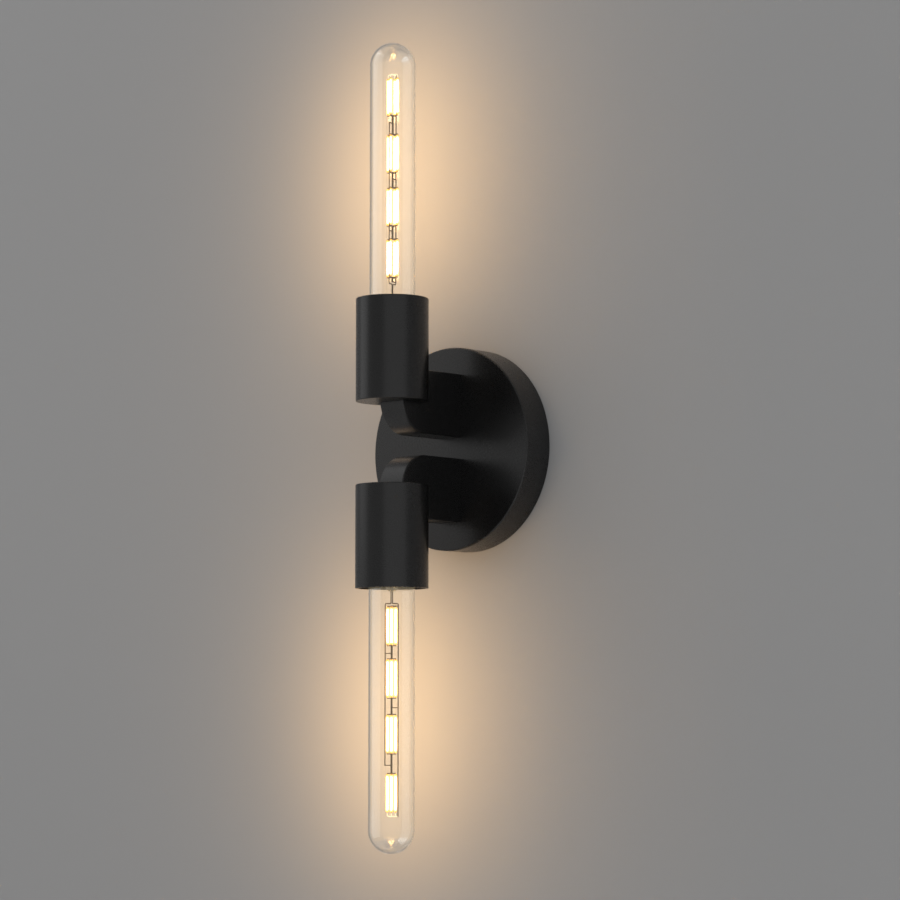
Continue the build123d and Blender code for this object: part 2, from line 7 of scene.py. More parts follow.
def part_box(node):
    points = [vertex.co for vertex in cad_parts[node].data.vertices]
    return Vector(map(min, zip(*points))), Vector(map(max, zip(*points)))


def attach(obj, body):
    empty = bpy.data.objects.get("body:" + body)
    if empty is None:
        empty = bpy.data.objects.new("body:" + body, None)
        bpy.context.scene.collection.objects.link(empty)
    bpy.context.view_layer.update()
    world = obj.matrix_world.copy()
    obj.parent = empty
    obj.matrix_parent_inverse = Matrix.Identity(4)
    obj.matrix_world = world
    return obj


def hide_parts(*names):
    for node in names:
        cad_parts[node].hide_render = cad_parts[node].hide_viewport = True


bl_info = {
    "name": "Two-Light Vanity Wall Light",
    "version": (1, 0, 0),
    "blender": (4, 5, 0),
    "location": "View3D > Sidebar > Wall Light",
    "description": "Finishes, blown glass, lit filaments and a plain stage for a two-light vanity wall light",
    "category": "Object",
}

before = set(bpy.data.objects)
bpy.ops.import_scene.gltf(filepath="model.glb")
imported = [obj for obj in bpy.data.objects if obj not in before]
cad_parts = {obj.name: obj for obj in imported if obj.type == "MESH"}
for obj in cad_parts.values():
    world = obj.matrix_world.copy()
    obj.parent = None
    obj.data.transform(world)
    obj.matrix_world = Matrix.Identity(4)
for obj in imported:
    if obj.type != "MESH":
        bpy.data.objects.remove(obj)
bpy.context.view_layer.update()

# Each lamp by name, with the way its bulb points along Z
LAMPS = {"upper": 1, "lower": -1}
# How far the filament frame is turned about each bulb's axis, as the bulbs are screwed in
FRAME_TURNS = {"upper": math.radians(101.6), "lower": math.radians(138.4)}
MM = 0.001

GLASS_LOW, GLASS_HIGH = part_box("upper_bulb_glass")
# How far below its tip a bulb's glass starts to thicken, and where it is at its thickest
END_START, END_FULL = 11.0 * MM, 7.5 * MM
# Rings of the glass along its flare and along its tube, and the angles of those round its end
RING_STEPS = 12
DOME_ANGLES = (6, 12, 18, 24, 30, 36, 42, 48, 54, 60, 66, 72, 77, 81, 84.5, 87.5)
# The last ring before the tip's point, as a share of the tube's radius
POINT_SHARE = 0.002
# Faces round a filament's strip and its sleeve, and the rounding of their ends as a share of the radius
STRIP_SIDES, SLEEVE_SIDES = 12, 24
ROD_ROUNDING = 0.6
# Edges flatter than this are shaded smooth
SMOOTH_ANGLE = math.radians(50)
# How far in from a stick's ends its strip and its sleeve are fully lit
STRIP_FADE, SLEEVE_FADE = 2.4 * MM, 2.2 * MM
# How far above the last tier the painted glow on the wire loops reaches full strength
PAINTED_LOOP_FADE = 0.5 * MM

# Soft panels of light: azimuth in degrees, the rest in metres
KEY_PANEL = {"azimuth": -58.0, "height": 0.85, "distance": 1.5, "width": 1.1, "tall": 1.8}
FRONT_PANEL = {"azimuth": 52.0, "height": 0.0, "distance": 1.5, "width": 2.1, "tall": 1.6}
GLASS_PANEL = {"azimuth": -43.0, "height": 0.25, "distance": 1.5, "width": 1.7, "tall": 2.7}
PANEL_AIM = Vector((0, -0.05, 0))
# Warm strips of light on the backdrop: place, shift out along each bulb, shift up of both, and size
WASH_X, WASH_Y = -0.068, -0.097
WASH_OUT, WASH_UP = 0.020, 0.013
WASH_WIDTH, WASH_TALL = 0.02, 0.15
# The backdrop's gap behind the light, its wiring hole, and its rings, each so many times the last
WALL_GAP = 0.0004
HOLE_RADIUS = 0.064
HOLE_SIDES = 128
WALL_RINGS = (2.0, 4.0, 8.0)
FLOOR_WIDTH = 40.0
# The camera: where it stands, the point beside the middle that it looks at, and its lens
CAMERA_AZIMUTH, CAMERA_RISE = math.radians(41.62), math.radians(-5.389)
CAMERA_DISTANCE = 1.8059
AIM_RIGHT, AIM_UP = -0.01436, 0.00098
SENSOR_WIDTH = 36.0
PICTURE_WIDTH = 900.0
FOCAL_PIXELS = 2703.66
CLIP_NEAR, CLIP_FAR = 0.05, 50.0


def length_property(name, description, default):
    """A size in metres that a user can change."""
    return FloatProperty(
        name=name, description=description, default=default, min=0.0, precision=5, unit="LENGTH",
    )


def tiers_property(name, description, default):
    """The heights in metres where a bulb's tiers of filament sticks start."""
    return FloatVectorProperty(
        name=name, description=description, default=default, size=len(default), min=0.0, precision=5,
        unit="LENGTH",
    )


def share_property(name, description, default):
    """A number from nothing to all."""
    return FloatProperty(
        name=name, description=description, default=default, min=0.0, max=1.0, subtype="FACTOR",
    )


def strength_property(name, description, default):
    """How many times over a surface gives out its glow."""
    return FloatProperty(name=name, description=description, default=default, min=0.0)


def power_property(name, description, default):
    """The power of a light, in watts."""
    return FloatProperty(name=name, description=description, default=default, min=0.0, unit="POWER")


def colour_property(name, description, default):
    """A linear colour."""
    return FloatVectorProperty(
        name=name, description=description, default=default, size=3, min=0.0, max=1.0, subtype="COLOR",
    )


class WallLightSizes(bpy.types.PropertyGroup):
    """Sizes of the pieces that are modelled here."""

    glass_radius: length_property(
        "Glass radius", "Outside radius of the bulb's tube", (GLASS_HIGH.x - GLASS_LOW.x) / 2,
    )
    glass_wall: length_property("Glass wall", "Thickness of the bulb's glass", 1.0 * MM)
    neck_radius: length_property("Neck radius", "Outside radius of the glass in the metal base", 11.4 * MM)
    flare_start: length_property("Flare start", "Height over the tip where the neck widens", 27.2 * MM)
    flare_end: length_property("Flare end", "Height over the tip where the tube is full width", 37.0 * MM)
    glass_sides: IntProperty(
        name="Glass sides", description="Faces round the tube", default=144, min=24, max=256,
    )
    sleeve_radius: length_property("Sleeve radius", "Radius of a filament's phosphor sleeve", 0.95 * MM)
    core_radius: length_property("Core radius", "Radius of the glowing strip inside the sleeve", 0.58 * MM)
    stick_length: length_property("Stick length", "Length of one filament stick", 24.6 * MM)
    stick_round: length_property("Stick end round", "Rounding of a sleeve's ends", 0.57 * MM)
    upper_tiers: tiers_property(
        "Upper tiers", "Starts of the upper bulb's tiers above the tip contact",
        (70.1 * MM, 104.0 * MM, 139.2 * MM, 177.0 * MM),
    )
    lower_tiers: tiers_property(
        "Lower tiers", "Starts of the lower bulb's tiers above the tip contact",
        (67.5 * MM, 101.1 * MM, 136.6 * MM, 174.1 * MM),
    )
    offset_in_plane: length_property("Offset in plane", "Sticks off the axis in the wires' plane", 2.6 * MM)
    offset_across: length_property("Offset across", "Sticks off the axis across the wires' plane", 3.6 * MM)


class WallLightFinishes(bpy.types.PropertyGroup):
    """Colours and glow of the finishes."""

    coat: colour_property("Powder coat", "Matte black of the canopy, arms and cups", (0.0046, 0.0046, 0.0047))
    coat_shine: share_property("Coat roughness", "Mean roughness of the powder coat", 0.28)
    zinc: colour_property("Zinc plate", "Strap, nut, stud and pan-head screws", (0.62, 0.63, 0.64))
    oxide: colour_property("Black oxide", "Grub screws and countersunk screws", (0.022, 0.022, 0.023))
    green_dye: colour_property("Green dye", "Ground screw", (0.03, 0.25, 0.07))
    tin: colour_property("Tin", "Ring terminals and tip contacts", (0.7, 0.68, 0.64))
    rubber: colour_property("Rubber", "Grommets and bushings", (0.02, 0.02, 0.02))
    red_moulding: colour_property("Red moulding", "Wire nuts", (0.55, 0.05, 0.03))
    black_lead: colour_property("Black lead", "Hot leads", (0.02, 0.02, 0.02))
    white_lead: colour_property("White lead", "Neutral leads", (0.8, 0.79, 0.76))
    green_lead: colour_property("Green lead", "Ground lead", (0.03, 0.3, 0.08))
    ceramic: colour_property("Ceramic", "Lampholder bodies", (0.82, 0.8, 0.75))
    brass: colour_property("Brass", "Screw shells and centre contacts", (0.72, 0.55, 0.25))
    nickel: colour_property("Nickel plate", "Bulb bases", (0.75, 0.73, 0.69))
    base_glass: colour_property("Base glass", "Black insulator in the bulb's base", (0.01, 0.01, 0.012))
    laminate: colour_property("Laminate", "Driver board", (0.05, 0.2, 0.08))
    nickel_wire: colour_property("Nickel wire", "Support wires and ties", (0.13, 0.09, 0.055))
    # Painted glow on the wire loops, standing in for the light of the sticks on them
    painted_loop_glow: colour_property("Loop glow", "Light of the sticks on the wire loops", (1.0, 0.8, 0.5))
    painted_loop_shine: strength_property("Loop shine", "Brightness of the wire loops over the sticks", 1.3)
    # Painted glow: the glass gives out a faint warm light of its own in place of the filament light it
    # scatters
    painted_glass_glow: colour_property("Glass glow", "Filament light that the glass scatters", (1.0, 0.82, 0.5))
    core_glow: colour_property("Core glow", "Light of the filament's strip", (1.0, 0.82, 0.56))
    core_power: strength_property("Core strength", "Brightness of the filament's strip", 12.5)
    core_end: colour_property("Core end", "Dim glow of the strip's ends", (0.035, 0.013, 0.001))
    sleeve_glow: colour_property("Sleeve glow", "Light of the phosphor sleeve", (1.0, 0.5, 0.1))
    sleeve_power: strength_property("Sleeve strength", "Brightness of the sleeve", 1.6)
    sleeve_cover: share_property("Sleeve cover", "How much of the strip the sleeve covers", 0.45)


class WallLightStage(bpy.types.PropertyGroup):
    """The plain stage round the light."""

    floor: colour_property("Floor", "Plain pale floor", (0.66, 0.655, 0.65))
    backdrop: colour_property("Backdrop", "Plain wall that the light hangs on", (0.368, 0.368, 0.371))
    background: colour_property(
        "Background", "Even light from all round, and what shows past the backdrop", (0.68, 0.68, 0.68),
    )
    mirrored: colour_property("Mirrored room", "Dim room in the glossy finishes", (0.265, 0.265, 0.265))
    glass_edge: colour_property("Glass edge", "Room that shows through the glass", (0.6, 0.505, 0.41))
    floor_height: FloatProperty(
        name="Floor height", description="Height of the floor", default=-1.1, unit="LENGTH",
    )
    key_power: power_property("Key light", "Large soft light on the left", 3.1)
    front_power: power_property("Front light", "Weak soft light by the camera", 2.2)
    glass_power: power_property("Glass light", "Soft daylight that only the glass shows", 12.5)
    daylight: colour_property("Daylight", "Colour of the light that the glass shows", (0.76, 0.9, 1.0))
    wash_power: power_property("Wall wash", "Warm light on the backdrop by each bulb", 0.252)
    wash: colour_property("Wall wash colour", "Colour of the warm light on the backdrop", (1.0, 0.62, 0.28))


class Value:
    """A shader socket that Python's operators work on; numbers alone stay numbers."""

    def __init__(self, paint, socket):
        self.paint = paint
        self.socket = socket

    def math(self, operation, first, second=0.0):
        return self.paint.add("ShaderNodeMath", {"operation": operation}, {0: first, 1: second})

    def __add__(self, other):
        return self.math("ADD", self, other)

    def __sub__(self, other):
        return self.math("SUBTRACT", self, other)

    def __rsub__(self, other):
        return self.math("SUBTRACT", other, self)

    def __mul__(self, other):
        return self.math("MULTIPLY", self, other)

    def __pow__(self, other):
        return self.math("POWER", self, other)

    def __abs__(self):
        return self.math("ABSOLUTE", self)

    __radd__ = __add__
    __rmul__ = __mul__


class Paint:
    """The node tree of a material, a world or a light while it is being made."""

    def __init__(self, name, owner=None):
        self.owner = owner or bpy.data.materials.new(name)
        self.owner.use_nodes = True
        self.tree = self.owner.node_tree
        self.tree.nodes.clear()

    def add(self, kind, settings=None, inputs=None, output=0):
        """Adds a node: its settings first, then the values or links of its sockets; gives one output."""
        node = self.tree.nodes.new(kind)
        for name, setting in (settings or {}).items():
            setattr(node, name, setting)
        for name, given in (inputs or {}).items():
            if isinstance(given, Value):
                self.tree.links.new(given.socket, node.inputs[name])
            else:
                node.inputs[name].default_value = given
        return Value(self, node.outputs[output])

    def place(self, stretch=(1.0, 1.0, 1.0)):
        """Object coordinates, stretched along the axes."""
        spot = self.add("ShaderNodeTexCoord", output="Object")
        return self.add("ShaderNodeMapping", inputs={"Vector": spot, "Scale": stretch})

    def height(self):
        """The height in the object's own coordinates."""
        return self.add("ShaderNodeSeparateXYZ", inputs={0: self.place()}, output="Z")

    def smooth(self, amount, low, high):
        """0 up to low, 1 from high on, and a smooth step between."""
        ends = {0: amount, 1: low, 2: high}
        return self.add("ShaderNodeMapRange", {"interpolation_type": "SMOOTHSTEP"}, ends)

    def noise(self, per_metre, detail=3.0, roughness=0.55, stretch=(1.0, 1.0, 1.0)):
        """Cloudy noise from 0 to 1 with so many features to the metre."""
        inputs = {"Vector": self.place(stretch), "Scale": per_metre, "Detail": detail, "Roughness": roughness}
        return self.add("ShaderNodeTexNoise", inputs=inputs)

    def spots(self, per_metre, low, high):
        """Scattered spots: 1 at a spot's middle, 0 outside it."""
        far = self.add("ShaderNodeTexVoronoi", inputs={"Vector": self.place(), "Scale": per_metre})
        return self.add("ShaderNodeMapRange", inputs={0: far, 1: low, 2: high, 3: 1.0, 4: 0.0})

    def blend(self, factor, first, second):
        """A colour between two colours."""
        ends = [tint if isinstance(tint, Value) else opaque(tint) for tint in (first, second)]
        return self.add("ShaderNodeMix", {"data_type": "RGBA"}, {0: factor, 6: ends[0], 7: ends[1]}, output=2)

    def relief(self, height, depth, strength=1.0):
        """A bumped normal from a height of 0 to 1 and a depth in metres."""
        return self.add("ShaderNodeBump", inputs={"Height": height, "Distance": depth, "Strength": strength})

    def body(self, inputs):
        """The Principled surface."""
        return self.add("ShaderNodeBsdfPrincipled", inputs=inputs)

    def mixed(self, factor, first, second):
        """One shader at factor 0 and another at factor 1."""
        return self.add("ShaderNodeMixShader", inputs={0: factor, 1: first, 2: second})

    def clear(self, tint=(1.0, 1.0, 1.0)):
        """A surface that isn't there."""
        return self.add("ShaderNodeBsdfTransparent", inputs={"Color": opaque(tint)})

    def done(self, surface, output="ShaderNodeOutputMaterial"):
        """Closes the tree and gives the material, the world or the light."""
        node = self.tree.nodes.new(output)
        self.tree.links.new(surface.socket, node.inputs["Surface"])
        return self.owner


def opaque(tint):
    """A colour of three numbers as four."""
    return (*tint, 1.0)


def shaded(tint, share):
    """A colour made darker or lighter by a share."""
    return tuple(min(1.0, part * share) for part in tint)


def powder_coat(name, tint, shine):
    """Fine powder coat: a close grain over a shallow orange peel, hardly glossy."""
    paint = Paint(name)
    grain = paint.noise(per_metre=1500.0, detail=4.0, roughness=0.6)
    peel = paint.noise(per_metre=330.0, detail=2.0, roughness=0.5)
    cloud = paint.noise(per_metre=28.0, detail=3.0, roughness=0.5)
    mottle = 0.65 * grain + 0.35 * cloud
    return paint.done(paint.body({
        "Base Color": paint.blend(mottle, shaded(tint, 0.78), shaded(tint, 1.22)),
        "Roughness": (shine - 0.09) + 0.12 * grain + 0.06 * cloud,
        "Specular IOR Level": 0.68,
        "Normal": paint.relief(0.55 * grain + 0.45 * peel, depth=0.03 * MM, strength=0.35),
    }))


def plated(name, tint, rough, lines=(1.0, 1.0, 1.0), stain=0.8):
    """Plated metal: drawn lines, clouds of a duller tone and a few small pits."""
    paint = Paint(name)
    drawn = paint.noise(per_metre=900.0, detail=3.0, roughness=0.6, stretch=lines)
    cloud = paint.noise(per_metre=90.0, detail=4.0, roughness=0.6)
    pits = paint.spots(per_metre=420.0, low=0.08, high=0.16)
    dull = paint.blend(cloud, shaded(tint, stain), shaded(tint, 1.08))
    return paint.done(paint.body({
        "Base Color": paint.blend(0.5 * pits, dull, shaded(tint, 0.45)),
        "Metallic": 1.0,
        "Roughness": (rough - 0.08) + 0.1 * drawn + 0.1 * cloud,
        "Normal": paint.relief(drawn - 0.6 * pits, depth=0.03 * MM, strength=0.4),
    }))


def dyed_metal(name, tint, metal, rough):
    """Dark or dyed metal, worn a little brighter in patches."""
    paint = Paint(name)
    wear = paint.noise(per_metre=260.0, detail=4.0, roughness=0.65)
    grain = paint.noise(per_metre=1600.0, detail=2.0, roughness=0.5)
    return paint.done(paint.body({
        "Base Color": paint.blend(wear ** 3.0, tint, shaded(tint, 2.4)),
        "Metallic": metal,
        "Roughness": (rough - 0.06) + 0.14 * grain,
        "Normal": paint.relief(grain, depth=0.02 * MM, strength=0.4),
    }))


def moulding(name, tint, rough, depth):
    """Moulded or extruded plastic and rubber, with faint clouds and a fine skin."""
    paint = Paint(name)
    cloud = paint.noise(per_metre=120.0, detail=3.0, roughness=0.55)
    skin = paint.noise(per_metre=1300.0, detail=3.0, roughness=0.6)
    return paint.done(paint.body({
        "Base Color": paint.blend(cloud, shaded(tint, 0.85), shaded(tint, 1.1)),
        "Roughness": (rough - 0.06) + 0.12 * skin,
        "Normal": paint.relief(skin, depth=depth, strength=0.4),
    }))


def glazed_ceramic(name, tint):
    """White glazed ceramic with faint specks and a softly wavy glaze."""
    paint = Paint(name)
    cloud = paint.noise(per_metre=60.0, detail=3.0, roughness=0.5)
    specks = paint.spots(per_metre=650.0, low=0.05, high=0.12)
    waves = paint.noise(per_metre=180.0, detail=2.0, roughness=0.5)
    pale = paint.blend(cloud, shaded(tint, 0.93), shaded(tint, 1.03))
    return paint.done(paint.body({
        "Base Color": paint.blend(0.35 * specks, pale, (0.32, 0.27, 0.2)),
        "Roughness": 0.16 + 0.12 * cloud,
        "Coat Weight": 0.4,
        "Coat Roughness": 0.08,
        "Normal": paint.relief(waves, depth=0.05 * MM, strength=0.3),
    }))


def round_end(paint):
    """1 over the last of a bulb's round end, where the blown glass is thickest, and 0 along its tube."""
    return paint.smooth(abs(paint.height()), GLASS_HIGH.z - END_START, GLASS_HIGH.z - END_FULL)


def clear_glass(name, ripple, haze, glow):
    """Clear blown glass: a faint ripple and haze, a painted warm glow of its own in place of the filament
    light it scatters (dimmer over the round end), and light from the lit sticks passes straight out.
    """
    paint = Paint(name)
    wave = paint.noise(per_metre=45.0, detail=2.0, roughness=0.5, stretch=(1.0, 1.0, 0.25))
    film = paint.noise(per_metre=70.0, detail=4.0, roughness=0.6)
    end = round_end(paint)
    glass = paint.body({
        "Base Color": paint.blend(film, (1.0, 1.0, 1.0), (0.985, 0.98, 0.97)),
        "Roughness": haze * film ** 2.0,
        "IOR": 1.52,
        "Transmission Weight": 1.0,
        "Coat Weight": end,
        "Coat IOR": 2.4,
        # Painted glow: a faint emission in place of scattered filament light, three quarters as strong over
        # the round end
        "Emission Color": paint.blend(end, glow, shaded(glow, 0.75)),
        "Emission Strength": 0.024,
        "Normal": paint.relief(wave, depth=ripple, strength=0.25),
    })
    shadow = paint.add("ShaderNodeLightPath", output="Is Shadow Ray")
    return paint.done(paint.mixed(shadow, glass, paint.clear((0.96, 0.955, 0.945))))


def tiers(sizes, lamp):
    """The heights above a bulb's tip contact where its tiers of filament sticks start."""
    return sizes.upper_tiers if lamp == "upper" else sizes.lower_tiers


def stick_middle(paint, sizes, lamp, fade):
    """0 at the two ends of each of a bulb's filament sticks, and 1 from so far in along it."""
    rise = abs(paint.height() - tip_height(lamp))
    nearest = 0.0
    for low in tiers(sizes, lamp):
        along = rise - low
        nearest = rise.math("MAXIMUM", nearest, along.math("MINIMUM", along, sizes.stick_length - along))
    return paint.smooth(nearest, 0.0, fade)


def strip_glow(name, finishes, sizes, lamp):
    """The lit strip: chips side by side along it, amber and dim at its ends."""
    paint = Paint(name)
    chips = paint.noise(per_metre=700.0, detail=1.0, roughness=0.4)
    lit = paint.blend(chips, shaded(finishes.core_glow, 0.9), finishes.core_glow)
    middle = stick_middle(paint, sizes, lamp, STRIP_FADE)
    return paint.done(paint.body({
        "Base Color": opaque((0.9, 0.7, 0.3)),
        "Roughness": 0.6,
        "Emission Color": paint.blend(middle ** 3.0, finishes.core_end, lit),
        "Emission Strength": finishes.core_power,
    }))


def sleeve_glow(name, finishes, sizes, lamp):
    """The phosphor sleeve: a thin, clear amber skin with light of its own."""
    paint = Paint(name)
    tint = finishes.sleeve_glow
    cloud = paint.noise(per_metre=900.0, detail=2.0, roughness=0.5)
    lit = paint.blend(cloud, shaded(tint, 0.88), tint)
    middle = stick_middle(paint, sizes, lamp, SLEEVE_FADE)
    skin = paint.body({
        "Base Color": opaque((0.95, 0.72, 0.25)),
        "Roughness": 0.45,
        "Emission Color": paint.blend(middle, shaded(tint, 0.25), lit),
        "Emission Strength": finishes.sleeve_power,
    })
    return paint.done(paint.mixed(finishes.sleeve_cover, paint.clear((1.0, 0.93, 0.78)), skin))


def tie_wire(name, finishes, sizes, lamp):
    """Dark nickel wire whose end loops, close over the lit sticks, carry a painted glow in place of the
    sticks' light on them.
    """
    paint = Paint(name)
    tint = finishes.nickel_wire
    cloud = paint.noise(per_metre=90.0, detail=4.0, roughness=0.6)
    loops_start = tiers(sizes, lamp)[-1] + sizes.stick_length
    # Painted glow mask: 1 on the wire loops past the last tier, 0 along the sticks
    loops = paint.smooth(abs(paint.height() - tip_height(lamp)), loops_start, loops_start + PAINTED_LOOP_FADE)
    return paint.done(paint.body({
        "Base Color": paint.blend(cloud, shaded(tint, 0.6), shaded(tint, 1.08)),
        "Metallic": 1.0,
        "Roughness": 0.34 + 0.12 * cloud,
        "Emission Color": paint.blend(loops, (0.0, 0.0, 0.0), finishes.painted_loop_glow),
        "Emission Strength": finishes.painted_loop_shine,
    }))


def laminate(name, tint):
    """Green board laminate: a woven cloth under lacquer."""
    paint = Paint(name)
    cloth = paint.noise(per_metre=1200.0, detail=2.0, roughness=0.5, stretch=(1.0, 1.0, 4.0))
    weft = paint.noise(per_metre=1200.0, detail=2.0, roughness=0.5, stretch=(4.0, 4.0, 1.0))
    return paint.done(paint.body({
        "Base Color": paint.blend(0.5 * cloth + 0.5 * weft, shaded(tint, 0.7), shaded(tint, 1.3)),
        "Roughness": 0.34 + 0.1 * cloth,
        "Normal": paint.relief(cloth + weft, depth=0.02 * MM, strength=0.3),
    }))


def stage_paint(name, tint):
    """Matte stage paint that shows from its front only."""
    paint = Paint(name)
    matte = paint.body({"Base Color": opaque(tint), "Roughness": 0.9, "Specular IOR Level": 0.1})
    back = paint.add("ShaderNodeNewGeometry", output="Backfacing")
    return paint.done(paint.mixed(back, matte, paint.clear()))


def dress(material, *names):
    """Gives a material to CAD nodes, in every slot that they have."""
    for name in names:
        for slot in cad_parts[name].material_slots:
            slot.material = material


def both(*pieces):
    """The names of both lamps' nodes of these pieces."""
    return [f"{lamp}_{piece}" for lamp in LAMPS for piece in pieces]


def nothing_selected():
    """Object mode with nothing selected."""
    if bpy.context.mode != "OBJECT":
        bpy.ops.object.mode_set(mode="OBJECT")
    bpy.ops.object.select_all(action="DESELECT")


def settle(piece, name, material):
    """Names a new piece, puts its place into its mesh and paints it."""
    bpy.ops.object.mode_set(mode="OBJECT")
    bpy.ops.object.transform_apply(location=True, rotation=True, scale=True)
    piece.name = piece.data.name = name
    piece.data.materials.clear()
    piece.data.materials.append(material)


def lathe(rings, sides, axis):
    """A form of revolution: a circle extruded ring by ring along Z and closed at its end."""
    nothing_selected()
    x, y = axis
    radius, height = rings[0]
    bpy.ops.mesh.primitive_circle_add(vertices=sides, radius=radius, location=(x, y, height))
    bpy.ops.object.mode_set(mode="EDIT")
    bpy.ops.mesh.select_all(action="SELECT")
    for next_radius, next_height in rings[1:]:
        bpy.ops.mesh.extrude_edges_move(TRANSFORM_OT_translate={"value": (0, 0, next_height - height)})
        ratio = next_radius / radius
        bpy.ops.transform.resize(value=(ratio, ratio, 1.0), center_override=(x, y, next_height))
        radius, height = next_radius, next_height
    bpy.ops.mesh.merge(type="CENTER")
    bpy.ops.mesh.select_all(action="SELECT")
    bpy.ops.mesh.normals_make_consistent(inside=False)
    return bpy.context.object


def lamp_axis(lamp):
    """The x and y of a bulb's axis."""
    low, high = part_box(f"{lamp}_bulb_glass")
    middle = (low + high) / 2
    return middle.x, middle.y


def tip_height(lamp):
    """The height of a bulb's tip contact, from which the heights in the bulb are measured."""
    low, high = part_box(f"{lamp}_bulb_tip_contact")
    return low.z if LAMPS[lamp] > 0 else high.z


def glass_rings(sizes, lamp):
    """The radius and height of each ring of a bulb's glass, from its foot to its round end."""
    low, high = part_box(f"{lamp}_bulb_glass")
    start = tip_height(lamp)
    foot = min(abs(low.z - start), abs(high.z - start))
    end = max(abs(low.z - start), abs(high.z - start))
    body, neck = sizes.glass_radius, sizes.neck_radius
    rings = [(neck, foot), (neck, sizes.flare_start)]
    dome = end - body
    shares = [step / RING_STEPS for step in range(1, RING_STEPS + 1)]
    for share in shares:
        swell = (1 - math.cos(math.pi * share)) / 2
        height = sizes.flare_start + (sizes.flare_end - sizes.flare_start) * share
        rings.append((neck + (body - neck) * swell, height))
    rings += [(body, sizes.flare_end + (dome - sizes.flare_end) * share) for share in shares]
    for angle in DOME_ANGLES:
        turn = math.radians(angle)
        rings.append((body * math.cos(turn), dome + body * math.sin(turn)))
    rings.append((body * POINT_SHARE, end))
    return [(radius, start + LAMPS[lamp] * height) for radius, height in rings]


def stick_places(sizes, lamp):
    """Where the middles of a bulb's filament sticks are."""
    x, y = lamp_axis(lamp)
    start, up = tip_height(lamp), LAMPS[lamp]
    turn = FRAME_TURNS[lamp]
    offsets = [
        (sizes.offset_in_plane, 0.0), (0.0, sizes.offset_across),
        (-sizes.offset_in_plane, 0.0), (0.0, -sizes.offset_across),
    ]
    places = []
    for low in tiers(sizes, lamp):
        height = low + sizes.stick_length / 2
        for along, across in offsets:
            east = along * math.cos(turn) - across * math.sin(turn)
            south = along * math.sin(turn) + across * math.cos(turn)
            places.append(Vector((x + up * east, y + south, start + up * height)))
    return places


def rounded_rod(radius, length, round_off, sides):
    """A slim rod about the origin with rounded ends."""
    nothing_selected()
    bpy.ops.mesh.primitive_cylinder_add(vertices=sides, radius=radius, depth=length)
    bpy.ops.object.mode_set(mode="EDIT")
    bpy.ops.mesh.select_mode(type="EDGE")
    bpy.ops.mesh.select_all(action="DESELECT")
    bpy.ops.object.mode_set(mode="OBJECT")
    piece = bpy.context.object
    for edge in piece.data.edges:
        ends = [piece.data.vertices[index].co.z for index in edge.vertices]
        edge.select = ends[0] * ends[1] > 0
    bpy.ops.object.mode_set(mode="EDIT")
    bpy.ops.mesh.bevel(offset=round_off, segments=4, affect="EDGES")
    bpy.ops.object.mode_set(mode="OBJECT")
    bpy.ops.object.shade_smooth_by_angle(angle=SMOOTH_ANGLE)
    return piece


def copies_joined(piece, places):
    """One piece from copies of a piece, each with its own mesh, at these places."""
    copies = []
    for place in places:
        twin = piece.copy()
        twin.data = piece.data.copy()
        twin.data.transform(Matrix.Translation(place))
        bpy.context.collection.objects.link(twin)
        copies.append(twin)
    bpy.data.meshes.remove(piece.data)
    nothing_selected()
    for twin in copies:
        twin.select_set(True)
    bpy.context.view_layer.objects.active = copies[0]
    bpy.ops.object.join()
    return bpy.context.object


class PowderCoat(bpy.types.Operator):
    """Coats the canopy, the arms and the socket cups in fine matte black"""

    bl_idname = "wall_light.powder_coat"
    bl_label = "Powder Coat"

    def execute(self, context):
        finishes = context.scene.wall_light_finishes
        coat = powder_coat("black_powder_coat", finishes.coat, finishes.coat_shine)
        dress(coat, "canopy", *both("arm", "socket_cup"))
        return {"FINISHED"}


class WallHardware(bpy.types.Operator):
    """Plates the strap, the ground fittings and the screws"""

    bl_idname = "wall_light.wall_hardware"
    bl_label = "Wall Hardware"

    def execute(self, context):
        finishes = context.scene.wall_light_finishes
        zinc = plated("zinc_plate", finishes.zinc, rough=0.34, lines=(1.0, 1.0, 0.06))
        oxide = dyed_metal("black_oxide", finishes.oxide, metal=0.6, rough=0.42)
        green = dyed_metal("green_dyed_screw", finishes.green_dye, metal=0.55, rough=0.34)
        dress(zinc, "mounting_strap", "ground_stud", "ground_nut", "arm_screws", "lampholder_screws")
        dress(oxide, "canopy_set_screws", "cup_screws")
        dress(green, "ground_screw")
        dress(plated("dull_tin", finishes.tin, rough=0.42), "ground_terminals")
        return {"FINISHED"}


class Wiring(bpy.types.Operator):
    """Colours the leads, the wire nuts, the grommets and the bushings"""

    bl_idname = "wall_light.wiring"
    bl_label = "Wiring"

    def execute(self, context):
        finishes = context.scene.wall_light_finishes
        for name, tint, leads in (
            ("black_insulation", finishes.black_lead, both("hot_lead")),
            ("white_insulation", finishes.white_lead, both("neutral_lead")),
            ("green_insulation", finishes.green_lead, ["ground_lead"]),
        ):
            dress(moulding(name, tint, rough=0.42, depth=0.02 * MM), *leads)
        nut_red = moulding("red_moulding", finishes.red_moulding, rough=0.36, depth=0.03 * MM)
        dress(nut_red, "hot_wire_nut", "neutral_wire_nut")
        rubber = moulding("black_rubber", finishes.rubber, rough=0.75, depth=0.05 * MM)
        dress(rubber, "canopy_grommets", "cup_bushings")
        return {"FINISHED"}


class Lampholders(bpy.types.Operator):
    """Glazes the ceramic lampholders and finishes their brass shells and contacts"""

    bl_idname = "wall_light.lampholders"
    bl_label = "Lampholders"

    def execute(self, context):
        finishes = context.scene.wall_light_finishes
        dress(glazed_ceramic("white_ceramic", finishes.ceramic), *both("lampholder"))
        brass = plated("rolled_brass", finishes.brass, rough=0.3, stain=0.62)
        dress(brass, *both("screw_shell", "centre_contact"))
        return {"FINISHED"}


